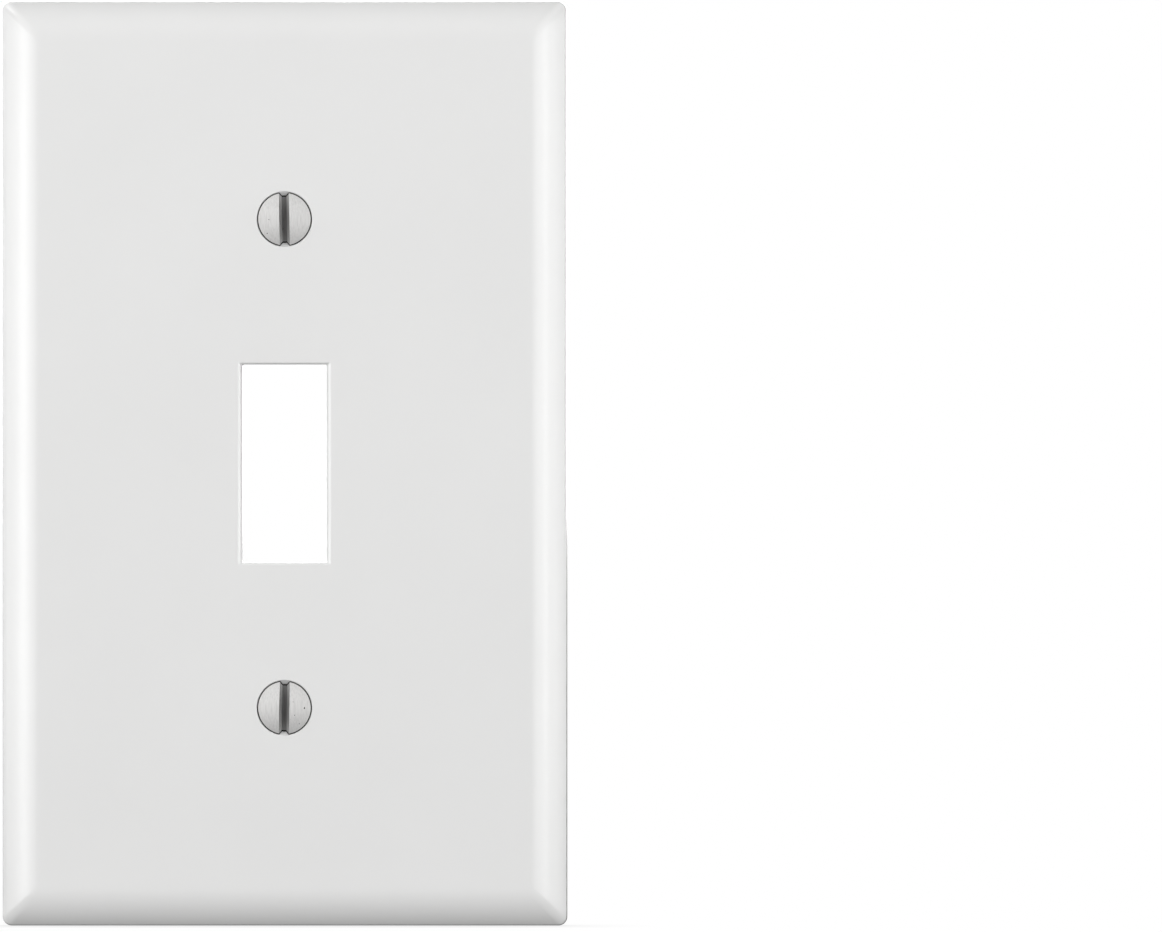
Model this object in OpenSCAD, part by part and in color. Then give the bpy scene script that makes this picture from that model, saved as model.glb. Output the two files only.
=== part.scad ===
// Single-gang toggle wall plate with its two oval-head screws.
// Millimetres. X runs across the plate, Z up it, and the face looks along -Y.
// The origin is on the wall plane, midway between the two screws.

/* [Plate] */
// Width of the plate across the wall
plate_w = 69.85; // [56:0.05:90]
// Height of the plate up the wall
plate_h = 114.3; // [95:0.05:140]
// Depth from the wall to the flat face
plate_depth = 5.6; // [4.6:0.1:8]
// Thickness of the front panel
panel_t = 2.4; // [2:0.1:3]
// Width of the rim that touches the wall
rim_w = 1.9; // [1.5:0.1:2.6]
// Radius of the four corners of the outline
corner_r = 1.1; // [0.5:0.1:2]
// How far each side wall leans in between the wall and the border
side_lean = 0.1; // [0:0.05:0.3]
// Radius inside the tray, where its walls meet the panel
tray_r = 0.9; // [0.3:0.1:1.5]

/* [Rounded border] */
// Width of the border that rolls off all round the flat face
border_w = 4.65; // [3.9:0.05:5.6]
// Radius of the roll that leaves the flat face
roll_r = 6.3; // [5.8:0.1:9]
// Radius of the outer edge, where the roll meets the side wall
edge_r = 0.4; // [0.2:0.05:0.8]

/* [Toggle opening] */
// Width of the opening for the switch's toggle
toggle_w = 10.4; // [9:0.1:13]
// Height of the opening for the switch's toggle
toggle_h = 24.5; // [20:0.1:30]
// Radius of the opening's two long front edges
long_edge_r = 0.6; // [0.2:0.05:1]
// Radius of the opening's two short front edges
short_edge_r = 0.3; // [0.1:0.05:1]
// Wall of the collar behind the opening
collar_t = 1.3; // [0.8:0.1:2]
// How far the collar stands behind the panel
collar_h = 1.4; // [0.6:0.1:1.6]

/* [Screws] */
// Distance between the two screws
screw_spacing = 60.325; // [48:0.025:74]
// Outer diameter of the screw's thread
thread_d = 3.505; // [2.9:0.005:4.3]
// Diameter of the plain neck under the head
neck_d = 2.99; // [2.4:0.01:3.4]
// Diameter of the screw's head
head_d = 6.72; // [6:0.02:8.2]
// Angle of the cone under the head, in degrees
cone_angle = 82; // [80:1:100]
// Height of the head's dome above its rim
dome_h = 1; // [0.6:0.1:1.4]
// Length of the screw from its rim to its tip
screw_len = 12.7; // [9.5:0.1:19]
// Width of the screwdriver slot at its mouth
slot_w = 1.24; // [0.9:0.02:1.5]
// How far each wall of the slot leans in, in degrees
slot_lean = 2; // [0:0.5:6]
// Depth of the slot below the top of the dome
slot_depth = 1.5; // [1.2:0.1:1.8]
// Depth of the slot's steep walls, above the slopes that lead to its floor
slot_wall_depth = 0.9; // [0.6:0.05:1.1]
// Width of the flat floor of the slot
slot_floor_w = 0.5; // [0.2:0.05:0.8]
// Chamfer on the screw's tip
tip_chamfer = 0.5; // [0.2:0.1:0.8]
// Clear gap all round the head at the face
mouth_gap = 0.1; // [0.1:0.02:0.4]
// Clearance between the head's cone and its seat, square to the cone
seat_gap = 0.06; // [0.03:0.01:0.15]
// Clearance all round the screw in its hole
hole_gap = 0.35; // [0.2:0.05:0.6]
// Width of the boss behind each screw hole
boss_t = 2.3; // [1.5:0.1:3]
// How far each boss stands behind the panel
boss_h = 0.8; // [0.4:0.1:1.2]
// Gap between the boss and the first turn of thread
thread_start_gap = 0.4; // [0.3:0.1:1]

/* [Stiffening] */
// Thickness of the ribs behind the panel
rib_t = 1; // [0.6:0.1:1.6]
// How far the ribs stand behind the panel
rib_h = 0.9; // [0.4:0.1:1.2]
// Diameter of the flat pads where the mould's ejector pins push
pad_d = 4.4; // [3:0.1:6]
// How far the ejector pads stand behind the panel
pad_h = 0.15; // [0.1:0.05:0.4]
// Distance from the tray's walls to the middle of a pad
pad_inset = 6.5; // [5:0.5:9]

/* [Hidden] */
$fn = 96;

// Small overlap that lets joined shapes share volume, and cuts run past a face
lap = 0.2;
panel_back = plate_depth - panel_t;

// Slope of the roll at the outer edge: the two arcs together span the border
border_span = border_w - side_lean;
roll_end = asin((border_span - edge_r) / (roll_r - edge_r));

// Head: the rim sits below the face by what the cone needs to leave mouth_gap round it
half_cone = cone_angle / 2;
head_r = head_d / 2;
mouth_r = head_r + mouth_gap;
seat_drop = seat_gap / sin(half_cone);
rim_drop = mouth_gap / tan(half_cone) - seat_drop;
rim_up = plate_depth - rim_drop;
neck_up = rim_up - (head_r - neck_d / 2) / tan(half_cone);
tip_up = rim_up - screw_len;
boss_up = panel_back - boss_h;
thread_up = boss_up - thread_start_gap;
dome_r = (head_r * head_r + dome_h * dome_h) / (2 * dome_h);
hole_r = thread_d / 2 + hole_gap;
seat_end_up = plate_depth - (mouth_r - hole_r) / tan(half_cone);
slot_up = rim_up + dome_h - slot_depth;
slot_wall_w = slot_w - 2 * slot_wall_depth * tan(slot_lean);

plastic = "whitesmoke";
nickel = "silver";

// ---------- flat shapes ----------

function on_circle(c, r, slope) = c + r * [sin(slope), cos(slope)];

// The slice between a circle's arc and its chord, from one slope to another,
// with a little overlap behind the chord.
module arc_slice(c, r, from, to) {
    out = [sin((from + to) / 2), cos((from + to) / 2)];
    a = on_circle(c, r, from);
    b = on_circle(c, r, to);
    intersection() {
        translate(c) circle(r = r);
        polygon([a - lap * out, a + r * out, b + r * out, b - lap * out]);
    }
}

// Right half of the plate's cross-section, wall at the bottom and face at the top
module border_half(half) {
    roll_c = [half - border_w, plate_depth - roll_r];
    edge_c = on_circle(roll_c, roll_r - edge_r, roll_end);
    arc_slice(roll_c, roll_r, 0, roll_end);
    arc_slice(edge_c, edge_r, roll_end, 90);
    polygon([
        [-lap, 0],
        [half, 0],
        on_circle(edge_c, edge_r, 90),
        on_circle(roll_c, roll_r, roll_end),
        on_circle(roll_c, roll_r, 0),
        [-lap, plate_depth]
    ]);
}

// Right half of the tray's cross-section: it opens at the wall
module tray_half(half) {
    c = [half - tray_r, panel_back - tray_r];
    translate(c) circle(r = tray_r);
    translate([-lap, -lap]) square([half + lap, panel_back - tray_r + lap]);
    translate([-lap, -lap]) square([half - tray_r + lap, panel_back + lap]);
}

// Right half of a cut through the panel whose front edge is rounded
module flare_half(half, r) {
    translate([-lap, -lap]) square([half + lap, plate_depth + 2 * lap]);
    difference() {
        translate([0, plate_depth - r]) square([half + r, r + lap]);
        translate([half + r, plate_depth - r]) circle(r = r);
    }
}

module rounded_rect(w, h, r) {
    square([w - 2 * r, h], center = true);
    square([w, h - 2 * r], center = true);
    for (x = [-1, 1], z = [-1, 1])
        translate([x * (w / 2 - r), z * (h / 2 - r)]) circle(r = r);
}

// ---------- solids from flat shapes ----------

// A half section and its mirror image, drawn up the plate
module drawn_up(length) {
    linear_extrude(height = length, center = true)
        for (side = [0, 1])
            mirror([side, 0]) mirror([0, 1]) children();
}

// The same, drawn across the plate
module drawn_across(length) {
    rotate([0, 90, 0]) drawn_up(length) children();
}

// A flat shape as a slab standing from one height above the wall to another
module slab(from, to) {
    translate([0, -from, 0]) rotate([90, 0, 0]) linear_extrude(height = to - from) children();
}

module at_screws() {
    for (side = [-1, 1]) translate([0, 0, side * screw_spacing / 2]) children();
}

// ---------- plate ----------

module plate_body() {
    intersection() {
        drawn_up(plate_h) border_half(plate_w / 2);
        drawn_across(plate_w) border_half(plate_h / 2);
        slab(0, plate_depth) rounded_rect(plate_w, plate_h, corner_r);
    }
}

module tray() {
    w = plate_w - 2 * rim_w;
    h = plate_h - 2 * rim_w;
    intersection() {
        drawn_up(h) tray_half(w / 2);
        drawn_across(w) tray_half(h / 2);
        slab(-lap, panel_back) rounded_rect(w, h, corner_r);
    }
}

module ribs() {
    reach_w = plate_w - rim_w;
    reach_h = plate_h - rim_w;
    from = panel_back - rib_h;
    slab(from, panel_back + lap) square([rib_t, reach_h], center = true);
    for (side = [-1, 1])
        slab(from, panel_back + lap)
            translate([0, side * (toggle_h + collar_t) / 2]) square([reach_w, rib_t], center = true);
}

module collar() {
    w = toggle_w + 2 * collar_t;
    h = toggle_h + 2 * collar_t;
    slab(panel_back - collar_h, panel_back + lap) rounded_rect(w, h, collar_t / 2);
}

module bosses() {
    at_screws() slab(boss_up, panel_back + lap) circle(r = hole_r + boss_t);
}

module ejector_pads() {
    x = plate_w / 2 - rim_w - pad_inset;
    z = plate_h / 2 - rim_w - pad_inset;
    for (sx = [-1, 1], sz = [-1, 0, 1])
        slab(panel_back - pad_h, panel_back + lap) translate([sx * x, sz * z]) circle(d = pad_d);
}

module toggle_opening() {
    intersection() {
        drawn_up(toggle_h + 2 * long_edge_r) flare_half(toggle_w / 2, long_edge_r);
        drawn_across(toggle_w + 2 * long_edge_r) flare_half(toggle_h / 2, short_edge_r);
    }
}

// Countersunk clearance hole: a cone for the head, then a straight hole for the thread
module screw_hole() {
    past = lap * tan(half_cone);
    rotate([90, 0, 0]) rotate_extrude()
        polygon([
            [0, -lap],
            [hole_r, -lap],
            [hole_r, seat_end_up],
            [mouth_r + past, plate_depth + lap],
            [0, plate_depth + lap]
        ]);
}

module wall_plate() {
    color(plastic) difference() {
        union() {
            difference() {
                plate_body();
                tray();
            }
            ribs();
            collar();
            bosses();
            ejector_pads();
        }
        toggle_opening();
        at_screws() screw_hole();
    }
}

// ---------- screws ----------

// The head: a cone under the rim, cut off above it by the dome's sphere
module screw_head() {
    top_r = head_r + dome_h * tan(half_cone);
    intersection() {
        rotate_extrude()
            polygon([[0, neck_up], [neck_d / 2, neck_up], [top_r, rim_up + dome_h], [0, rim_up + dome_h]]);
        translate([0, 0, rim_up + dome_h - dome_r]) sphere(r = dome_r);
    }
}

// The plain neck and the threaded length, whose radius is the thread's crest
module screw_shank() {
    tip_r = thread_d / 2;
    rotate_extrude()
        polygon([
            [0, tip_up],
            [tip_r - tip_chamfer, tip_up],
            [tip_r, tip_up + tip_chamfer],
            [tip_r, thread_up],
            [neck_d / 2, thread_up],
            [neck_d / 2, neck_up + lap],
            [0, neck_up + lap]
        ]);
}

// The slot's walls run down steeply, then slope in to a narrow floor
module slot() {
    side = slot_wall_w / 2;
    side_up = rim_up + dome_h - slot_wall_depth;
    floor = slot_floor_w / 2;
    past = slot_w / 2 + lap * tan(slot_lean);
    top = rim_up + dome_h + lap;
    rotate([90, 0, 0]) linear_extrude(height = 2 * head_d, center = true)
        polygon([
            [-floor, slot_up],
            [floor, slot_up],
            [side, side_up],
            [past, top],
            [-past, top],
            [-side, side_up]
        ]);
}

module screw() {
    color(nickel) rotate([90, 0, 0]) difference() {
        union() {
            screw_head();
            screw_shank();
        }
        slot();
    }
}

module upper_screw() {
    translate([0, 0, screw_spacing / 2]) screw();
}

module lower_screw() {
    translate([0, 0, -screw_spacing / 2]) screw();
}

wall_plate();
upper_screw();
lower_screw();
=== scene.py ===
# %% [markdown]
# # A toggle wall plate and its two screws
#
# A single-gang wall plate is one thin plastic moulding with a rounded border, an opening for the
# switch's toggle and two countersunk holes. Two slotted oval-head screws hold it on. It is smooth and
# nearly white, so it is read almost only from how its curved edges catch the light. The shapes are
# therefore worked out exactly with numpy, and the finishes are quiet.

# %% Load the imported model
import math

import bmesh
import bpy
import numpy as np
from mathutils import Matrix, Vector
from mathutils.geometry import tessellate_polygon


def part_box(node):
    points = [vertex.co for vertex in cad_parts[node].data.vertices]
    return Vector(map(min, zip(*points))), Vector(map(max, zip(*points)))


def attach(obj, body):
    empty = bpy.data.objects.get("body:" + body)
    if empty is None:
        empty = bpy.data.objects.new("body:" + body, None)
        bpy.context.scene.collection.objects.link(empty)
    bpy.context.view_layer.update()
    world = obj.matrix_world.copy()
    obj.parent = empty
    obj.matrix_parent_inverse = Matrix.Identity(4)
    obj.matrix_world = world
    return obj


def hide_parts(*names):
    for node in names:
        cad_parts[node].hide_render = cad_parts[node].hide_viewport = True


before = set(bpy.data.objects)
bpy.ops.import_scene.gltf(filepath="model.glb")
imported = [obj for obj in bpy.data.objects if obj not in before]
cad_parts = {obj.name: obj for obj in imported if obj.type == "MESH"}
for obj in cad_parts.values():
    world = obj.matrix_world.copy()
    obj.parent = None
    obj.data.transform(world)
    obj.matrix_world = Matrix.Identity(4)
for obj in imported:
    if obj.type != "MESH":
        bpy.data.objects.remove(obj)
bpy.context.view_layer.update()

# %% [markdown]
# ## Driving sizes
#
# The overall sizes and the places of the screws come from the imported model, so the looks follow it if
# it changes. What the model can't tell, such as the radius of an edge, is written once by name. Lengths
# are in millimetres, and a point is turned into metres only when it goes into a mesh. A height is
# measured from the wall towards the viewer, which is how a plate is drawn in section.

# %% Sizes of the plate
MM = 0.001
plate_low, plate_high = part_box("wall_plate")
HALF_W = plate_high.x / MM
HALF_H = plate_high.z / MM
DEPTH = -plate_low.y / MM
PANEL_T = 2.4
PANEL_BACK = DEPTH - PANEL_T
RIM_W = 1.9
CORNER_R = 1.1
FACE_CORNER_R = 0.7
SIDE_LEAN = 0.1
BORDER_W = 4.65
ROLL_R = 6.3
EDGE_R = 0.4
RIM_EDGE_R = 0.15
TRAY_R = 0.9
print(f"plate {2 * HALF_W:.2f} x {2 * HALF_H:.2f} x {DEPTH:.2f} mm")

# %% Sizes of the opening, the bosses and the ribs
TOGGLE_W, TOGGLE_H = 10.4, 24.5
LONG_EDGE_R, SHORT_EDGE_R = 0.6, 0.3
TOGGLE_CORNER_R = 0.15
COLLAR_T, COLLAR_H = 1.3, 1.4
BOSS_T, BOSS_H = 2.3, 0.8
RIB_T, RIB_H = 1.0, 0.9
RIB_OVERLAP = 0.4
PAD_R, PAD_H, PAD_INSET = 2.2, 0.15, 6.5
ROOT_R = 0.3
TOP_R = 0.15
print(f"panel {PANEL_T} mm thick, opening {TOGGLE_W} x {TOGGLE_H} mm")

# %% Sizes of a screw
head_low, head_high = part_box("upper_screw")
SCREW_Z = {"upper": (head_low.z + head_high.z) / 2 / MM}
SCREW_Z["lower"] = -SCREW_Z["upper"]
HEAD_R = head_high.x / MM
DOME_H = 1.0
DOME_R = (HEAD_R**2 + DOME_H**2) / (2 * DOME_H)
HALF_CONE = math.radians(41)
MOUTH_GAP, SEAT_GAP, HOLE_GAP = 0.1, 0.06, 0.35
MOUTH_R = HEAD_R + MOUTH_GAP
MOUTH_EDGE_R = 0.08
RIM_UP = DEPTH - MOUTH_GAP / math.tan(HALF_CONE) + SEAT_GAP / math.sin(HALF_CONE)
TIP_UP = -head_high.y / MM
TIP_CHAMFER = 0.5
THREAD_R = 3.505 / 2
THREADS_PER_INCH = 32
THREAD_PITCH = 25.4 / THREADS_PER_INCH
ROOT_DEPTH = 0.4296
RUN_IN = 0.9
NECK_R = 2.99 / 2
NECK_H = -(HEAD_R - NECK_R) / math.tan(HALF_CONE)
THREAD_START_GAP = 0.4
THREAD_UP = PANEL_BACK - BOSS_H - THREAD_START_GAP
HOLE_R = THREAD_R + HOLE_GAP
SLOT_W, SLOT_DEPTH, SLOT_LEAN = 1.24, 1.5, math.radians(2)
SLOT_FLOOR_W = 0.5
SLOT_TURN = {"upper": math.radians(1), "lower": math.radians(-1)}
print(f"screws {2 * SCREW_Z['upper']:.3f} mm apart, their heads {2 * HEAD_R:.2f} mm across")

# %% [markdown]
# ## Rings and lofts
#
# Every surface here is a profile carried round a closed path: a rectangle with rounded corners round
# the plate and its opening, and a circle round a screw. One profile point carried round the path is a
# ring, so a surface is a stack of rings with the same number of points, joined by quads. A plate pushed
# and pulled by hand could look the same, but here a radius is changed by changing one number.
#
# All rings turn from +X towards +Z. A stack that starts in the face, runs down the side and comes back
# inside then has all its quads facing out, so no normals need mending afterwards.

# %% Rings
CORNER_STEPS = 10
ROUND_STEPS = 96


def rectangle_ring(half_w, half_h, radius):
    """In each quadrant, the corner's centre (+-(half_w - radius), +-(half_h - radius)) plus radius times
    (cos a, sin a), with a running over that quadrant. The four arcs one after another are the ring."""
    quarter = np.linspace(0, math.pi / 2, CORNER_STEPS + 1)
    angle = quarter[None, :] + np.arange(4)[:, None] * math.pi / 2
    sign_x = np.array([1, -1, -1, 1])[:, None]
    sign_z = np.array([1, 1, -1, -1])[:, None]
    x = sign_x * (half_w - radius) + radius * np.cos(angle)
    z = sign_z * (half_h - radius) + radius * np.sin(angle)
    return np.stack([x.ravel(), z.ravel()], axis=1)


def circle_ring(radius, centre=(0.0, 0.0), steps=ROUND_STEPS):
    """The centre plus radius times (cos a, sin a), with a over one full turn."""
    angle = np.arange(steps) * 2 * math.pi / steps
    return np.stack([centre[0] + radius * np.cos(angle), centre[1] + radius * np.sin(angle)], axis=1)


def lift(ring, up):
    """A flat ring (x, z) at a height above the wall is the points (x, -up, z)."""
    return np.stack([ring[:, 0], np.full(len(ring), -float(up)), ring[:, 1]], axis=1)


def arc(centre, radius, start, end, steps):
    """The centre plus radius times (sin s, cos s), with the slope s from start to end in degrees. Slope 0
    is the side of the circle nearest the viewer, and slope 90 its outer side."""
    slope = np.radians(np.linspace(start, end, steps + 1))
    return np.stack([centre[0] + radius * np.sin(slope), centre[1] + radius * np.cos(slope)], axis=1)


print(len(rectangle_ring(1, 1, 0.1)), "points round a rectangle,", ROUND_STEPS, "round a circle")

# %% [markdown]
# One mesh is gathered from several such stacks. The class below keeps points and faces, joins rings into
# quads, and fills a flat stretch between an outline and its holes with triangles. A flat stretch needs no
# points of its own: flat is flat however it is cut up.

# %% Gather surfaces into one mesh
MERGE = 2e-7


class Surface:
    """Points in millimetres and faces by index, gathered from lofts, flat fills and caps."""

    def __init__(self):
        self.points = []
        self.faces = []

    def add(self, points, faces):
        """Keeps the points, and the faces with their indices moved past the points already there."""
        start = sum(len(p) for p in self.points)
        self.points.append(np.asarray(points, float))
        self.faces += (np.asarray(faces) + start).tolist()

    def loft(self, rings, closed=True):
        """Quads (ring j, point i), (j + 1, i), (j + 1, i + 1), (j, i + 1) between neighbouring rings."""
        stack = np.stack(rings)
        count, around = stack.shape[:2]
        i = np.arange(around if closed else around - 1)
        j = np.arange(count - 1)[:, None]
        after = (i + 1) % around
        corners = [j * around + i, (j + 1) * around + i, (j + 1) * around + after, j * around + after]
        self.add(stack.reshape(-1, 3), np.stack(corners, axis=2).reshape(-1, 4))

    def fill(self, outline, holes, front):
        """Triangles over the flat area inside the outline and outside the holes."""
        loops = [outline] + list(holes)
        points = np.concatenate(loops)
        flat = [[Vector((p[0], p[2], 0)) for p in loop] for loop in loops]
        triangles = np.array(tessellate_polygon(flat))
        a, b, c = (points[triangles[:, k]][:, [0, 2]] for k in range(3))
        area = (b - a)[:, 0] * (c - a)[:, 1] - (b - a)[:, 1] * (c - a)[:, 0]
        wrong = (area < 0) if front else (area > 0)
        triangles[wrong] = triangles[wrong][:, ::-1]
        self.add(points, triangles)

    def cap(self, ring, front):
        """One flat face over a ring."""
        order = np.arange(len(ring))
        self.add(ring, [order if front else order[::-1]])

    def to_mesh(self, name):
        """The gathered points in metres, with the seams between the stacks merged."""
        mesh = bpy.data.meshes.new(name)
        mesh.from_pydata((np.concatenate(self.points) * MM).tolist(), [], self.faces)
        work = bmesh.new()
        work.from_mesh(mesh)
        bmesh.ops.remove_doubles(work, verts=work.verts, dist=MERGE)
        work.to_mesh(mesh)
        work.free()
        return mesh


def place(mesh, name):
    """An object at the origin that shows the mesh."""
    made = bpy.data.objects.new(name, mesh)
    bpy.context.scene.collection.objects.link(made)
    return made


def open_edges(mesh):
    """How many edges don't lie between exactly two faces."""
    work = bmesh.new()
    work.from_mesh(mesh)
    count = sum(1 for edge in work.edges if not edge.is_manifold)
    work.free()
    return count


# %% [markdown]
# ## The moulded plate
#
# The plate is one piece of plastic with a panel 2.4 mm thick, hollow behind like a shallow tray. Its
# border is a single large radius that leaves the flat face smoothly and meets the side wall at a small
# edge. The profile below is that section: from the face outwards, down to the wall, under the rim, and
# back up inside the tray.
#
# One extra ring lies in the flat face just inside the border. It keeps the smooth shading of the roll
# from creeping over the flat, where it would show as a false gradient on so plain a surface.

# %% Section of the plate's wall
SUPPORT = 0.3
REACH = ROLL_R - EDGE_R
ROLL_END = math.degrees(math.asin((BORDER_W - SIDE_LEAN - EDGE_R) / REACH))


def plate_section():
    """Stations (distance out from the outline, height). The roll is an arc about (-BORDER_W, DEPTH -
    ROLL_R), the edge is a small arc tangent to it, and short arcs round the rim and the tray."""
    slope = math.radians(ROLL_END)
    roll_centre = (-BORDER_W, DEPTH - ROLL_R)
    edge_centre = (roll_centre[0] + REACH * math.sin(slope), roll_centre[1] + REACH * math.cos(slope))
    front = [
        np.array([[-BORDER_W - SUPPORT, DEPTH]]),
        arc(roll_centre, ROLL_R, 0, ROLL_END, 24),
        arc(edge_centre, EDGE_R, ROLL_END, 90, 8)[1:],
    ]
    behind = [
        arc((-RIM_EDGE_R, RIM_EDGE_R), RIM_EDGE_R, 90, 180, 4),
        arc((-RIM_W + RIM_EDGE_R, RIM_EDGE_R), RIM_EDGE_R, 180, 270, 4),
        arc((-RIM_W - TRAY_R, PANEL_BACK - TRAY_R), TRAY_R, 90, 0, 8),
        np.array([[-RIM_W - TRAY_R - SUPPORT, PANEL_BACK]]),
    ]
    return np.concatenate(front), np.concatenate(behind)


front_section, back_section = plate_section()
section = np.concatenate([front_section, back_section])
corner = np.full(len(section), CORNER_R)
into_border = np.clip(-front_section[:, 0] / BORDER_W, 0, 1)
corner[: len(front_section)] += (FACE_CORNER_R - CORNER_R) * into_border
plate = Surface()
wall_rings = [lift(rectangle_ring(HALF_W + s[0], HALF_H + s[0], r), s[1]) for s, r in zip(section, corner)]
plate.loft(wall_rings)
print(f"border rolls off to {ROLL_END:.1f} degrees; its section has {len(section)} stations")

# %% [markdown]
# The opening for the toggle is cut through the panel with rounded front edges, and a low collar stiffens
# it behind. Its long edges have twice the radius of its short ones, so at a given depth the ring has
# opened further in X than in Z. The stack runs from the panel's back over the collar, through the
# opening and out on to the face.

# %% Toggle opening and its collar
def flare(radius, depth):
    """How far a rounded edge has opened at a depth below the face: radius - sqrt(radius^2 - (radius -
    depth)^2), and nothing below its radius."""
    rest = np.clip(radius - depth, 0, None)
    return radius - np.sqrt(radius**2 - rest**2)


def opening_rings():
    """Rings about the opening, grown by the collar's section behind and by the flare in front."""
    half_w, half_h = TOGGLE_W / 2, TOGGLE_H / 2
    low = PANEL_BACK - COLLAR_H
    collar = np.concatenate([
        [[COLLAR_T + ROOT_R + SUPPORT, PANEL_BACK]],
        arc((COLLAR_T + ROOT_R, PANEL_BACK - ROOT_R), ROOT_R, 0, -90, 5),
        arc((COLLAR_T - TOP_R, low + TOP_R), TOP_R, 90, 180, 4),
        arc((TOP_R, low + TOP_R), TOP_R, 180, 270, 4),
    ])
    rings = [
        lift(rectangle_ring(half_w + out, half_h + out, TOGGLE_CORNER_R + out / 2), up)
        for out, up in collar
    ]
    depth = LONG_EDGE_R * (1 - np.sin(np.linspace(0, math.pi / 2, 17)))
    grow_x, grow_z = flare(LONG_EDGE_R, depth), flare(SHORT_EDGE_R, depth)
    rings += [
        lift(rectangle_ring(half_w + x, half_h + z, TOGGLE_CORNER_R), DEPTH - d)
        for x, z, d in zip(grow_x, grow_z, depth)
    ]
    on_face = rectangle_ring(
        half_w + grow_x[-1] + SUPPORT, half_h + grow_z[-1] + SUPPORT, TOGGLE_CORNER_R + SUPPORT
    )
    return rings + [lift(on_face, DEPTH)]


opening = opening_rings()
plate.loft(opening)
print(f"opening {TOGGLE_W} x {TOGGLE_H} mm in {len(opening)} rings")

# %% [markdown]
# Each screw hole is a straight clearance hole with a cone seat in front of it, so that the oval head
# sits almost flush, and a boss behind it. The mouth of the seat is very slightly rounded, as moulded
# plastic always is, and that tiny round is what draws a light line round the screw.

# %% Screw holes and their bosses
HOLE_EDGE_R = 0.1


def screw_hole_rings(centre_z):
    """Circles whose radius and height follow the section: boss, hole, cone seat, rounded mouth, face.
    The mouth's arc touches the face and the cone, so its centre lies MOUTH_EDGE_R (1 - sin c) / cos c
    outside the sharp corner, with c the half angle of the cone."""
    boss_r = HOLE_R + BOSS_T
    boss_up = PANEL_BACK - BOSS_H
    seat_end = DEPTH - (MOUTH_R - HOLE_R) / math.tan(HALF_CONE)
    mouth_x = MOUTH_R + MOUTH_EDGE_R * (1 - math.sin(HALF_CONE)) / math.cos(HALF_CONE)
    stations = np.concatenate([
        [[boss_r + ROOT_R + SUPPORT, PANEL_BACK]],
        arc((boss_r + ROOT_R, PANEL_BACK - ROOT_R), ROOT_R, 0, -90, 5),
        arc((boss_r - TOP_R, boss_up + TOP_R), TOP_R, 90, 180, 4),
        arc((HOLE_R + HOLE_EDGE_R, boss_up + HOLE_EDGE_R), HOLE_EDGE_R, 180, 270, 3),
        [[HOLE_R, seat_end]],
        arc((mouth_x, DEPTH - MOUTH_EDGE_R), MOUTH_EDGE_R, math.degrees(HALF_CONE) - 90, 0, 5),
        [[mouth_x + SUPPORT, DEPTH]],
    ])
    return [lift(circle_ring(radius, (0, centre_z)), up) for radius, up in stations]


holes = [screw_hole_rings(z) for z in SCREW_Z.values()]
for rings in holes:
    plate.loft(rings)
print(len(holes), "screw holes of", len(holes[0]), "rings each")

# %% [markdown]
# The mould pushes the finished plate out with pins, and each pin leaves a flat round pad on the panel's
# back. With the pads in, all holes in the two flat stretches are known, and they can be filled: the face
# in front, and the floor of the tray behind.

# %% Ejector pads and the flat stretches
PAD_STEPS, PAD_EDGE = 48, 0.04
pad_x = HALF_W - RIM_W - PAD_INSET
pad_z = HALF_H - RIM_W - PAD_INSET
pads = []
for x, z in [(sx * pad_x, sz * pad_z) for sx in (-1, 1) for sz in (-1, 0, 1)]:
    stations = [
        (PAD_R + 0.1 + SUPPORT, PANEL_BACK),
        (PAD_R + 0.1, PANEL_BACK),
        (PAD_R, PANEL_BACK - PAD_EDGE),
        (PAD_R, PANEL_BACK - PAD_H + PAD_EDGE),
        (PAD_R - 0.05, PANEL_BACK - PAD_H),
    ]
    pads.append([lift(circle_ring(radius, (x, z), PAD_STEPS), up) for radius, up in stations])
    plate.loft(pads[-1])
    plate.cap(pads[-1][-1], front=False)

plate.fill(wall_rings[0], [opening[-1]] + [rings[-1] for rings in holes], front=True)
behind = [opening[0]] + [rings[0] for rings in holes] + [rings[0] for rings in pads]
plate.fill(wall_rings[-1], behind, front=False)
plate_mesh = plate.to_mesh("plate_moulding")
print(len(plate_mesh.polygons), "faces,", open_edges(plate_mesh), "open edges")

# %% [markdown]
# Low ribs cross behind the panel: one up the middle and two level with the ends of the opening. They
# could be lofted with the tray, but where a rib meets a collar, a boss or a wall its outline is awkward,
# and a Boolean union finds those joints exactly. The bars are simple closed prisms, so it is safe here.
# They reach RIB_OVERLAP into the panel and the walls, because a union needs solids that truly overlap.

# %% Ribs behind the panel
def rib_bar(bars, start, end, across, upright):
    """A prism whose section is RIB_T wide, stands RIB_H behind the panel and has rounded corners. It
    runs from start to end, at the place across."""
    low = PANEL_BACK - RIB_H
    half = RIB_T / 2
    profile = np.concatenate([
        [[half, PANEL_BACK + RIB_OVERLAP]],
        arc((half - TOP_R, low + TOP_R), TOP_R, 90, 180, 4),
        arc((-half + TOP_R, low + TOP_R), TOP_R, 180, 270, 4),
        [[-half, PANEL_BACK + RIB_OVERLAP]],
    ])
    ends = []
    for place_along in (start, end):
        along = np.full(len(profile), float(place_along))
        side = across + profile[:, 0]
        points = (side, -profile[:, 1], along) if upright else (along, -profile[:, 1], side)
        ends.append(np.stack(points, axis=1))
    bars.loft(ends)
    bars.cap(ends[0], front=True)
    bars.cap(ends[1], front=False)


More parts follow.
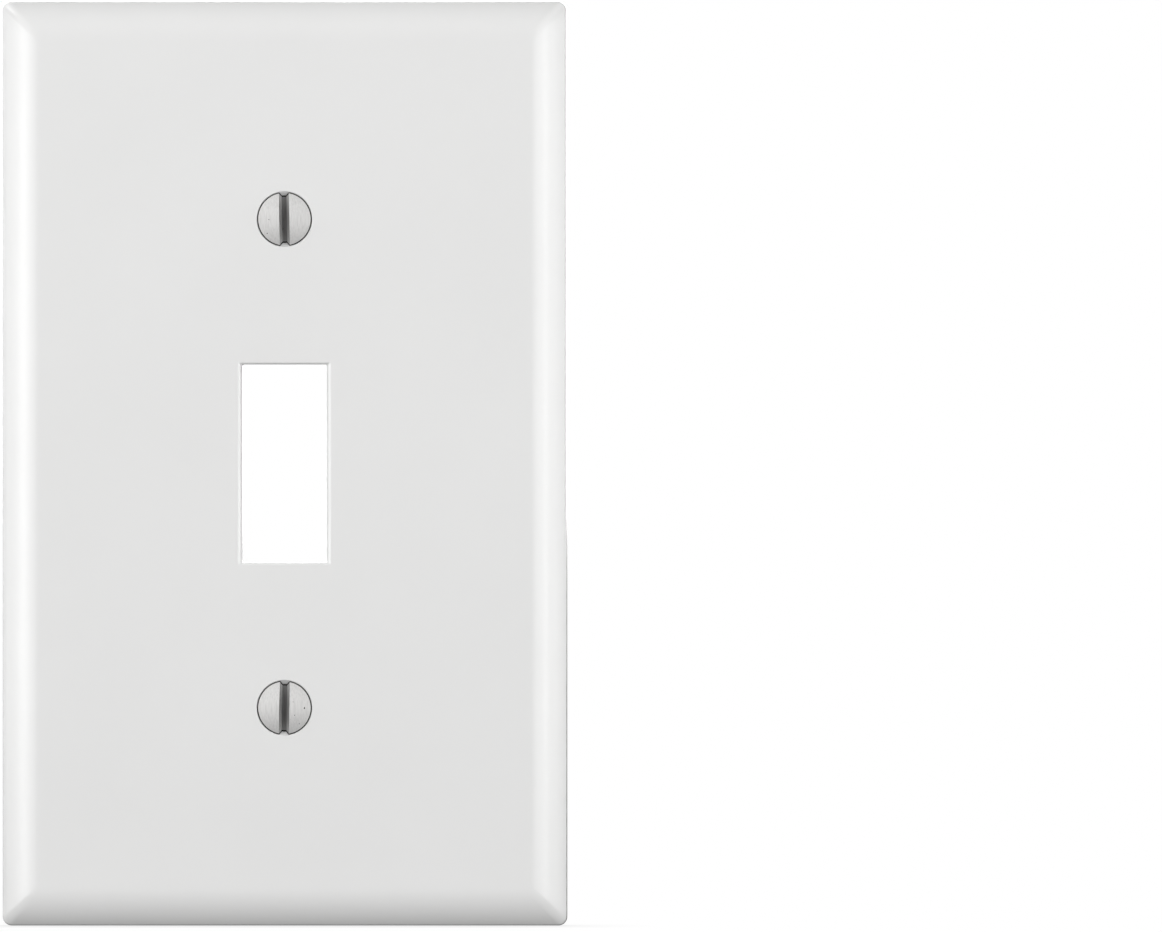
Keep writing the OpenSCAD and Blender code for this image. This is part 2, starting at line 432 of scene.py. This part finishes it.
bars = Surface()
cross_z = (TOGGLE_H + COLLAR_T) / 2
collar_end = TOGGLE_H / 2 + COLLAR_T - 0.1
boss_middle = HOLE_R + BOSS_T / 2
wall_x = HALF_W - RIM_W + RIB_OVERLAP
wall_z = HALF_H - RIM_W + RIB_OVERLAP
for sign in (-1, 1):
    rib_bar(bars, -wall_x, wall_x, sign * cross_z, upright=False)
    rib_bar(bars, sign * collar_end, sign * (SCREW_Z["upper"] - boss_middle), 0, upright=True)
    rib_bar(bars, sign * (SCREW_Z["upper"] + boss_middle), sign * wall_z, 0, upright=True)
bar_mesh = bars.to_mesh("rib_bars")
work = bmesh.new()
work.from_mesh(bar_mesh)
bmesh.ops.recalc_face_normals(work, faces=work.faces)
work.to_mesh(bar_mesh)
work.free()

moulding = place(plate_mesh, "plate_moulding")
bar_object = place(bar_mesh, "rib_bars")
join = moulding.modifiers.new("ribs", "BOOLEAN")
join.operation, join.solver, join.object = "UNION", "EXACT", bar_object
joined = bpy.data.meshes.new_from_object(moulding.evaluated_get(bpy.context.evaluated_depsgraph_get()))
moulding.modifiers.clear()
moulding.data = joined
bpy.data.objects.remove(bar_object)
joined.shade_smooth()
joined.set_sharp_from_angle(angle=math.radians(35))
print(f"plate with ribs: {len(joined.polygons)} faces, {open_edges(joined)} open edges")

# %% [markdown]
# ## The screws
#
# An oval head is a shallow spherical dome on a cone, crossed by a slot that a flat blade fits. The slot's
# walls go down almost square to the level of the rim, and then slope in to a narrow floor. Cutting it
# with a Boolean leaves long thin triangles on the dome that shade badly, so the top of the head is one
# grid whose columns follow the slot instead. From left to right the columns cover the left half of the
# dome, a wall, a slope, the floor, and the same again. Rows run up the screw along the slot.

# %% Top of a screw's head
DOME_COLUMNS, FLOOR_COLUMNS, HEAD_ROWS = 24, 2, 49


def dome_height(distance):
    """Height over the rim at a distance from the axis: sqrt(DOME_R^2 - distance^2) less the height of
    the sphere's centre, which makes it DOME_H on the axis and 0 at the rim."""
    return np.sqrt(DOME_R**2 - distance**2) - (DOME_R - DOME_H)


def slot_half_width(height):
    """Half the slot's width: SLOT_W / 2 level with the top of the dome, less (DOME_H - height) tan lean."""
    return SLOT_W / 2 - (DOME_H - height) * math.tan(SLOT_LEAN)


def slot_edge(z):
    """Where the slot's wall meets the dome, found by putting the height back in until x settles."""
    x = np.full_like(z, SLOT_W / 2)
    for _ in range(30):
        x = slot_half_width(dome_height(np.hypot(x, z)))
    return x


def slot_column(x, height, t):
    """A column along the slot below the rim: z = t sqrt(r^2 - x^2), with r the cone's radius there."""
    radius = HEAD_R + height * math.tan(HALF_CONE)
    z = t * math.sqrt(radius**2 - x**2)
    return np.stack([np.full_like(t, x), z, np.full_like(t, height)], axis=1)


def head_grid():
    """Columns of points (x, z, height), as an array (columns, rows, 3). With t from -1 to 1 up a column,
    a dome column at angle p has z = t R sin p and x = R cos p plus a share, sin p over its value at the
    slot, of how far the slot's edge bows out there."""
    t = np.linspace(-1, 1, HEAD_ROWS)
    end_x = slot_half_width(0.0)
    last = math.acos(end_x / HEAD_R)
    p = np.linspace(0, last, DOME_COLUMNS + 1)[:, None]
    bow = slot_edge(t * HEAD_R * math.sin(last)) - end_x
    z = t * HEAD_R * np.sin(p)
    x = HEAD_R * np.cos(p) + np.sin(p) / math.sin(last) * bow
    height = dome_height(np.hypot(x, z))
    height[:, [0, -1]] = 0
    height[0] = 0
    left = np.stack([-x, z, height], axis=2)
    right = np.stack([x, z, height], axis=2)[::-1]
    floor_height = DOME_H - SLOT_DEPTH
    slope = [(end_x + (SLOT_FLOOR_W / 2 - end_x) * share, floor_height * share) for share in (0, 0.5, 1)]
    across = [(-x, h) for x, h in slope]
    across += [(x, floor_height) for x in np.linspace(-1, 1, FLOOR_COLUMNS + 1)[1:-1] * SLOT_FLOOR_W / 2]
    across += slope[::-1]
    channel = np.stack([slot_column(x, h, t) for x, h in across])
    return np.concatenate([left, channel, right])


head = head_grid()
print("head grid of", head.shape[0], "columns and", head.shape[1], "rows")

# %% [markdown]
# The grid's outline runs round the rim and dips across the two ends of the slot. All of it lies on the
# head's cone, so the rest of the screw follows by carrying that outline back: down the cone to the neck,
# and on as the thread. The thread is the usual 60 degree one, a ridge that winds round once for each
# pitch. It grows out of the neck over its first turn and is cut back by the chamfer at the tip.

# %% Neck, thread and tip
def outline_of(grid):
    """The grid's last row from right to left, then its first row from left to right."""
    return np.concatenate([grid[::-1, -1], grid[1:-1, 0]])


def thread_radius(turn, up):
    """Ridge over groove: phase is height over pitch less the turn, u its distance from a crest. The
    ridge is flat for |u| < 1/16, the groove for |u| > 3/8, with straight flanks between them."""
    phase = -up / THREAD_PITCH + turn
    u = np.abs(phase - np.round(phase))
    ridge = np.clip((3 / 8 - u) / (5 / 16), 0, 1)
    grown = np.clip((THREAD_UP - up) / RUN_IN, 0, 1)
    grown = grown * grown * (3 - 2 * grown)
    radius = NECK_R + grown * (THREAD_R - ROOT_DEPTH * (1 - ridge) - NECK_R)
    return np.minimum(radius, THREAD_R - TIP_CHAMFER + (up - TIP_UP))


def shank_rings(outline):
    """Rings (x, z, height over the rim) from the head's outline to the tip. On the cone the radius is
    HEAD_R + height tan c, and each point's angle slides evenly to its place in a regular ring."""
    around = np.unwrap(np.arctan2(outline[:, 1], outline[:, 0]))
    around -= 2 * math.pi * np.round(around[0] / (2 * math.pi))
    even = np.arange(len(outline)) * 2 * math.pi / len(outline)
    rings = []
    for share in np.linspace(0, 1, 9):
        height = outline[:, 2] + (NECK_H - outline[:, 2]) * share
        angle = around + (even - around) * share
        radius = HEAD_R + height * math.tan(HALF_CONE)
        rings.append(np.stack([radius * np.cos(angle), radius * np.sin(angle), height], axis=1))
    steps = int(round((THREAD_UP - TIP_UP) / THREAD_PITCH * 20))
    for up in np.linspace(THREAD_UP, TIP_UP, steps + 1):
        radius = thread_radius(even / (2 * math.pi), up)
        height = np.full(len(even), up - RIM_UP)
        rings.append(np.stack([radius * np.cos(even), radius * np.sin(even), height], axis=1))
    return rings


def seat_in_plate(points, turn, centre_z):
    """Turns the points (x, z, height) about the screw's axis and puts them at its place in the plate."""
    x, z, height = np.moveaxis(points, -1, 0)
    turned_x = x * math.cos(turn) - z * math.sin(turn)
    turned_z = x * math.sin(turn) + z * math.cos(turn)
    return np.stack([turned_x, -(RIM_UP + height), turned_z + centre_z], axis=-1)


shank = shank_rings(outline_of(head))
print("shank of", len(shank), "rings,", len(shank[0]), "points round")

# %% [markdown]
# The edges of the rim and the slot are broken by a small bevel, because a perfectly sharp edge never
# catches light. The Bevel modifier takes its edges by weight, and the weight is one on every sharp edge
# that lies forward of the neck, so the thread is left alone.

# %% Edges to break
def mark_edges_to_break(mesh):
    """Keeps the sharp mark only on edges forward of the neck, gives those bevel weight 1, and returns
    their number. An edge is forward when both of its ends are more than 0.3 mm above the neck."""
    sharp = np.zeros(len(mesh.edges), bool)
    mesh.attributes["sharp_edge"].data.foreach_get("value", sharp)
    ends = np.zeros(len(mesh.edges) * 2, np.int32)
    mesh.edges.foreach_get("vertices", ends)
    where = np.zeros(len(mesh.vertices) * 3, np.float32)
    mesh.vertices.foreach_get("co", where)
    up = -where.reshape(-1, 3)[:, 1] / MM
    marked = sharp & (up[ends.reshape(-1, 2)] > RIM_UP + NECK_H + 0.3).all(axis=1)
    mesh.attributes["sharp_edge"].data.foreach_set("value", marked)
    weight = mesh.attributes.new("bevel_weight_edge", "FLOAT", "EDGE")
    weight.data.foreach_set("value", marked.astype(np.float32))
    return int(marked.sum())


# %% Build the two screws
BEVEL = 0.05
SHARP_ANGLE = math.radians(38)
screws = {}
for which in SCREW_Z:
    surface = Surface()
    surface.loft(list(seat_in_plate(head, SLOT_TURN[which], SCREW_Z[which])), closed=False)
    seated = [seat_in_plate(ring, SLOT_TURN[which], SCREW_Z[which]) for ring in shank]
    surface.loft(seated)
    surface.cap(seated[-1], front=False)
    mesh = surface.to_mesh(f"{which}_screw_turned")
    mesh.shade_smooth()
    mesh.set_sharp_from_angle(angle=SHARP_ANGLE)
    broken = mark_edges_to_break(mesh)
    screw = place(mesh, f"{which}_screw_turned")
    bevel = screw.modifiers.new("broken edges", "BEVEL")
    bevel.limit_method, bevel.width, bevel.segments = "WEIGHT", BEVEL * MM, 2
    bevel.use_clamp_overlap = True
    screws[which] = screw
    print(f"{which} screw: {len(mesh.polygons)} faces, {open_edges(mesh)} open edges, {broken} broken")

# %% [markdown]
# ## Finishes
#
# The plate is glossy white thermoplastic. Close up it isn't perfectly even: the polish of the mould
# varies a little, the surface has a very low orange peel, and the white is very slightly cloudy. Each of
# the three is one noise on the piece's Object coordinates, each at its own scale. Painting them by hand
# would need an unwrapped surface and would show seams.

# %% Node helper
def new_material(name):
    """An empty node material, with its Principled shader and a function node(kind, settings, sockets).
    It adds a node and wires or sets its sockets by name, with _ for a space. Where several sockets share
    a name, a socket goes by its place instead, as _0, _1 and so on."""
    material = bpy.data.materials.new(name)
    material.use_nodes = True
    tree = material.node_tree
    tree.nodes.clear()
    output = tree.nodes.new("ShaderNodeOutputMaterial")
    shader = tree.nodes.new("ShaderNodeBsdfPrincipled")
    tree.links.new(shader.outputs["BSDF"], output.inputs["Surface"])

    def node(kind, settings=None, **inputs):
        made = tree.nodes.new(f"ShaderNode{kind}")
        for key, value in (settings or {}).items():
            setattr(made, key, value)
        for key, value in inputs.items():
            by_place = key[0] == "_" and key[1:].isdigit()
            socket = made.inputs[int(key[1:]) if by_place else key.replace("_", " ")]
            if isinstance(value, bpy.types.NodeSocket):
                tree.links.new(value, socket)
            else:
                socket.default_value = value
        return made

    return material, tree, shader, node


def ramp(node, value, start, end, low=0.0, high=1.0):
    """A straight ramp from low at the value start to high at the value end, flat outside them."""
    made = node("MapRange", Value=value, From_Min=start, From_Max=end, To_Min=low, To_Max=high)
    return made.outputs["Result"]


def combine(node, operation, first, second=0.0, third=0.0):
    """The number that one Math node gives."""
    return node("Math", {"operation": operation}, _0=first, _1=second, _2=third).outputs[0]


print("material helpers: new_material, ramp, combine")


# %% White moulded plastic
PLASTIC = (0.80, 0.80, 0.795, 1)
plastic, tree, shader, node = new_material("white_moulded_plastic")
where = node("TexCoord").outputs["Object"]
cloud = node("TexNoise", Vector=where, Scale=55.0, Detail=3.0, Roughness=0.55)
tone = ramp(node, cloud.outputs["Fac"], 0.3, 0.7, 0.992, 1.008)
grey = node("CombineColor", Red=tone, Green=tone, Blue=tone)
white = node("Mix", {"data_type": "RGBA", "blend_type": "MULTIPLY"}, _0=1.0, _6=PLASTIC)
tree.links.new(grey.outputs["Color"], white.inputs[7])
tree.links.new(white.outputs[2], shader.inputs["Base Color"])
polish = node("TexNoise", Vector=where, Scale=260.0, Detail=4.0, Roughness=0.6)
gloss = ramp(node, polish.outputs["Fac"], 0.3, 0.7, 0.18, 0.22)
tree.links.new(gloss, shader.inputs["Roughness"])
peel = node("TexNoise", Vector=where, Scale=900.0, Detail=2.0, Roughness=0.5)
relief = node("Bump", Strength=0.10, Distance=0.00004, Height=peel.outputs["Fac"])
tree.links.new(relief.outputs["Normal"], shader.inputs["Normal"])
shader.inputs["IOR"].default_value = 1.5
moulding.data.materials.clear()
moulding.data.materials.append(plastic)
print("plastic has", len(tree.nodes), "nodes")

# %% [markdown]
# The screws are steel with a dull satin nickel plating. The heads were brushed one way before plating, so
# they carry fine lines along the slot, and a few small dark pits sit in the plating. The lines are a noise
# stretched along Z, which raises the surface a little and changes its tone and how rough it is. Dull
# plating scatters part of the light like a paint, so the shader is only partly metallic.

# %% Brushed lines and pits
NICKEL = (0.71, 0.705, 0.697, 1)
# The dark colour for the painted shade in the slot, the painted shadow round the head, and the pits.
SHADE_AND_PIT_DARK = (0.015, 0.014, 0.013, 1)
nickel, tree, shader, node = new_material("satin_nickel")
texture = node("TexCoord")
where = texture.outputs["Object"]
stretched = node("Mapping", Vector=where, Scale=(1.0, 1.0, 0.05))
lines = node("TexNoise", Vector=stretched.outputs["Vector"], Scale=9000.0, Detail=3.0, Roughness=0.6)
pits = node("TexNoise", Vector=where, Scale=2600.0, Detail=1.0, Roughness=0.4)
pitted = ramp(node, pits.outputs["Fac"], 0.75, 0.79)
line_shade = ramp(node, lines.outputs["Fac"], 0.4, 0.7, 0.0, 0.12)
print("nickel so far has", len(tree.nodes), "nodes")

# %% [markdown]
# Shade is painted into the colour where the head would hold it. A dark band round the edge of the head,
# where it meets its seat, is a painted shadow of the narrow gap there. The walls of the slot, and the
# slope and floor down in it, are darkened as painted shade. Object coordinates can tell each of these
# places. Rise is the height over the rim. Inside is how far a point lies within the head's cone, the
# cone's radius at that rise less the distance from the screw's axis, and it is small round the edge. A
# wall of the slot is where the surface faces sideways above the rim. Painting a mask would do it too, but
# not on both screws at once.

# %% Where shade is painted
EDGE_BAND, BAND_BLUR = 0.19, 0.03
along = node("SeparateXYZ", Vector=where)
rise = combine(node, "MULTIPLY_ADD", along.outputs["Y"], -1.0, -RIM_UP * MM)
height = combine(node, "ABSOLUTE", along.outputs["Z"])
from_middle = combine(node, "SUBTRACT", height, SCREW_Z["upper"] * MM)
flat = node("CombineXYZ", X=along.outputs["X"], Y=0.0, Z=from_middle)
radius = node("VectorMath", {"operation": "LENGTH"}, _0=flat.outputs["Vector"]).outputs["Value"]
cone = combine(node, "MULTIPLY_ADD", rise, math.tan(HALF_CONE), HEAD_R * MM)
inside = combine(node, "SUBTRACT", cone, radius)
# Painted shadow: a dark band just inside the head's edge stands for the shadow in the gap between the head
# and its seat.
gap_shadow = ramp(node, inside, (EDGE_BAND + BAND_BLUR) * MM, (EDGE_BAND - BAND_BLUR) * MM)
# Painted shade: the slope and the floor down in the slot are darkened.
slot_slope_shade = ramp(node, rise, 0.02 * MM, -0.06 * MM, 0.0, 0.25)
slot_floor_shade = ramp(node, rise, -0.38 * MM, -0.47 * MM, 0.0, 0.62)
above_neck = ramp(node, rise, -1.0 * MM, -0.6 * MM)
head_shade = combine(node, "MAXIMUM", combine(node, "MAXIMUM", slot_slope_shade, slot_floor_shade), gap_shadow)
head_shade = combine(node, "MULTIPLY", head_shade, above_neck)
# Painted shade: the walls of the slot above the rim are darkened.
facing = node("SeparateXYZ", Vector=texture.outputs["Normal"])
sideways = ramp(node, combine(node, "ABSOLUTE", facing.outputs["X"]), 0.84, 0.92)
slot_wall_shade = combine(node, "MULTIPLY", sideways, ramp(node, rise, -0.04 * MM, 0.0))
print("nickel so far has", len(tree.nodes), "nodes")

# %% Satin nickel
# The painted shade and shadow, the pits and the brushed lines all pull the nickel towards the dark colour.
shade_and_marks = combine(node, "MAXIMUM", combine(node, "MAXIMUM", head_shade, slot_wall_shade), pitted)
shade_and_marks = combine(node, "ADD", shade_and_marks, line_shade)
tint = node("Mix", {"data_type": "RGBA"}, _0=shade_and_marks, _6=NICKEL, _7=SHADE_AND_PIT_DARK)
tree.links.new(tint.outputs[2], shader.inputs["Base Color"])
satin = ramp(node, lines.outputs["Fac"], 0.3, 0.7, 0.66, 0.74)
tree.links.new(combine(node, "MULTIPLY_ADD", shade_and_marks, 0.15, satin), shader.inputs["Roughness"])
grain = node("Bump", Strength=0.25, Distance=0.00001, Height=lines.outputs["Fac"])
tree.links.new(grain.outputs["Normal"], shader.inputs["Normal"])
shader.inputs["Metallic"].default_value = 0.4
for screw in screws.values():
    screw.data.materials.clear()
    screw.data.materials.append(nickel)
print("nickel has", len(tree.nodes), "nodes")

# %% [markdown]
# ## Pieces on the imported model
#
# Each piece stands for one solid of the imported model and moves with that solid's body, so the screws
# slide out of the plate in the posed views.

# %% Attach the pieces
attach(moulding, "plate")
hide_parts("wall_plate")
for which, screw in screws.items():
    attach(screw, f"{which}_screw")
    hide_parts(f"{which}_screw")

# %% [markdown]
# ## Floor, background and light
#
# The plate stands on a plain white floor in a white room. A white plate on white only shows its form if
# the light on it isn't the same from all sides, so the room and the floor are white to look at but send
# almost no light, and soft panels do the rest. The floor's white is its own glow, which a lamp's shadow
# can't dim, so a faint contact shade comes from how much of the sky the plate hides near its foot.

# %% Floor
FLOOR_REACH = 4000
floor = Surface()
corners = np.array([[-1, -1], [1, -1], [1, 1], [-1, 1]]) * FLOOR_REACH
floor.cap(np.column_stack([corners, np.full(4, -HALF_H)]), True)
floor_object = place(floor.to_mesh("floor"), "floor")
paper, tree, shader, node = new_material("pale_floor")
shader.inputs["Base Color"].default_value = (0, 0, 0, 1)
shader.inputs["Roughness"].default_value = 1.0
shader.inputs["Specular IOR Level"].default_value = 0.0
shader.inputs["Emission Color"].default_value = (1, 1, 1, 1)
contact = node("AmbientOcclusion", {"samples": 16}, Distance=0.012)
shade = ramp(node, contact.outputs["AO"], 0.5, 1.0, 0.84, 1.0)
tree.links.new(shade, shader.inputs["Emission Strength"])
floor_object.data.materials.append(paper)
floor_object.visible_diffuse = False
floor_object.visible_glossy = False
floor_object.visible_shadow = False
print("floor at", round(-HALF_H, 2), "mm")

# %% White room
world = bpy.data.worlds.new("white_room")
world.use_nodes = True
tree = world.node_tree
tree.nodes.clear()
output = tree.nodes.new("ShaderNodeOutputWorld")
seen = tree.nodes.new("ShaderNodeLightPath")
room = tree.nodes.new("ShaderNodeBackground")
room.inputs["Strength"].default_value = 0.03
wall = tree.nodes.new("ShaderNodeBackground")
wall.inputs["Strength"].default_value = 1.0
for background in (room, wall):
    background.inputs["Color"].default_value = (1, 1, 1, 1)
choose = tree.nodes.new("ShaderNodeMixShader")
tree.links.new(seen.outputs["Is Camera Ray"], choose.inputs[0])
tree.links.new(room.outputs[0], choose.inputs[1])
tree.links.new(wall.outputs[0], choose.inputs[2])
tree.links.new(choose.outputs[0], output.inputs["Surface"])
bpy.context.scene.world = world
print("room white to look at, and", round(room.inputs["Strength"].default_value, 3), "as a light")

# %% [markdown]
# The panels stand round the plate like the walls of a light tent. A glossy border works as a curved
# mirror: where it slopes by an angle, it shows what stands at twice that angle to the side. So a bright
# part of the tent at 35 to 42 degrees draws a bright line along the middle of each side border, and the
# dimmer parts beside it set how softly the line fades. The tent is open in front, so the flat face has
# no glare, and it has nothing below, so the lower border falls off into grey. Two panels behind light
# the hollow back for the views from there.
#
# The angles and widths are given. Most of the brightnesses aren't: they come from a least-squares fit of
# the tones across the borders, made by a script outside this one, then scaled and rounded. The rows at 28,
# 77 and 98 degrees were set afterwards, but for the one 38 degrees up.

# %% Soft panels
PANEL_DISTANCE, PANEL_HEIGHT = 0.8, 0.24


def soft_panel(name, side, above, width, brightness, height=PANEL_HEIGHT, distance=PANEL_DISTANCE):
    """A rectangular lamp aimed at the plate's middle. It stands at the angle side from straight ahead,
    positive to the right, and at the angle above, in degrees, with sizes in metres. Its power is pi
    times its area times its brightness, so two panels of the same brightness look equally white."""
    lamp = bpy.data.lights.new(name, "AREA")
    lamp.shape, lamp.size, lamp.size_y = "RECTANGLE", width, height
    lamp.energy = math.pi * width * height * brightness
    panel = bpy.data.objects.new(name, lamp)
    bpy.context.scene.collection.objects.link(panel)
    a, b = math.radians(side), math.radians(above)
    panel.location = Vector((math.sin(a) * math.cos(b), -math.cos(a) * math.cos(b), math.sin(b))) * distance
    panel.rotation_euler = (-panel.location).to_track_quat("-Z", "Y").to_euler()
    panel.visible_camera = False


# Angle to the side, angle above, width, and the brightness on the left and on the right
TENT = [
    (14, 1, 0.10, 2.5, 2.8),
    (21, 1, 0.10, 3.1, 3.7),
    (28, 1, 0.10, 4.7, 3.9),
    (35, 1, 0.10, 6.2, 6.0),
    (42, 1, 0.10, 6.3, 5.2),
    (49, 1, 0.10, 4.8, 3.5),
    (60, 1, 0.22, 3.7, 4.5),
    (77, 1, 0.22, 3.4, 3.4),
    (98, 1, 0.22, 3.8, 5.2),
    (28, 20, 0.40, 1.6, 2.5),
    (28, 38, 0.40, 1.0, 1.0),
    (62, 42, 0.40, 4.3, 1.4),
]
for side, above, width, left, right in TENT:
    soft_panel(f"left_{side}_{above}", -side, above, width, left)
    soft_panel(f"right_{side}_{above}", side, above, width, right)
soft_panel("behind_left", -160, 20, 0.9, 3.9, height=0.9, distance=1.2)
soft_panel("behind_right", 160, 20, 0.9, 2.9, height=0.9, distance=1.2)

# %% [markdown]
# ## Camera
#
# The plate is looked at straight on, from far off with a long lens, so its sides don't show and its
# edges stay parallel. The distance is what makes the picture FRAME_WIDTH wide at FRONT_Y, by similar
# triangles: width times lens over sensor. The camera stands to the right of the plate, so the plate is
# in the left half of the picture.

# %% Camera and view
LENS, SENSOR = 600.0, 36.0
FRAME_WIDTH = 0.1436
CAMERA_X, CAMERA_Z = 0.03661, -0.00031
FRONT_Y = -0.003
lens = bpy.data.cameras.new("camera")
lens.lens, lens.sensor_width = LENS, SENSOR
lens.clip_start, lens.clip_end = 0.1, 50
camera = bpy.data.objects.new("camera", lens)
bpy.context.scene.collection.objects.link(camera)
camera.location = (CAMERA_X, FRONT_Y - FRAME_WIDTH * LENS / SENSOR, CAMERA_Z)
camera.rotation_euler = (math.pi / 2, 0, 0)
bpy.context.scene.camera = camera
bpy.context.scene.view_settings.view_transform = "Standard"
print("camera", round(-camera.location.y, 3), "m in front of the wall")
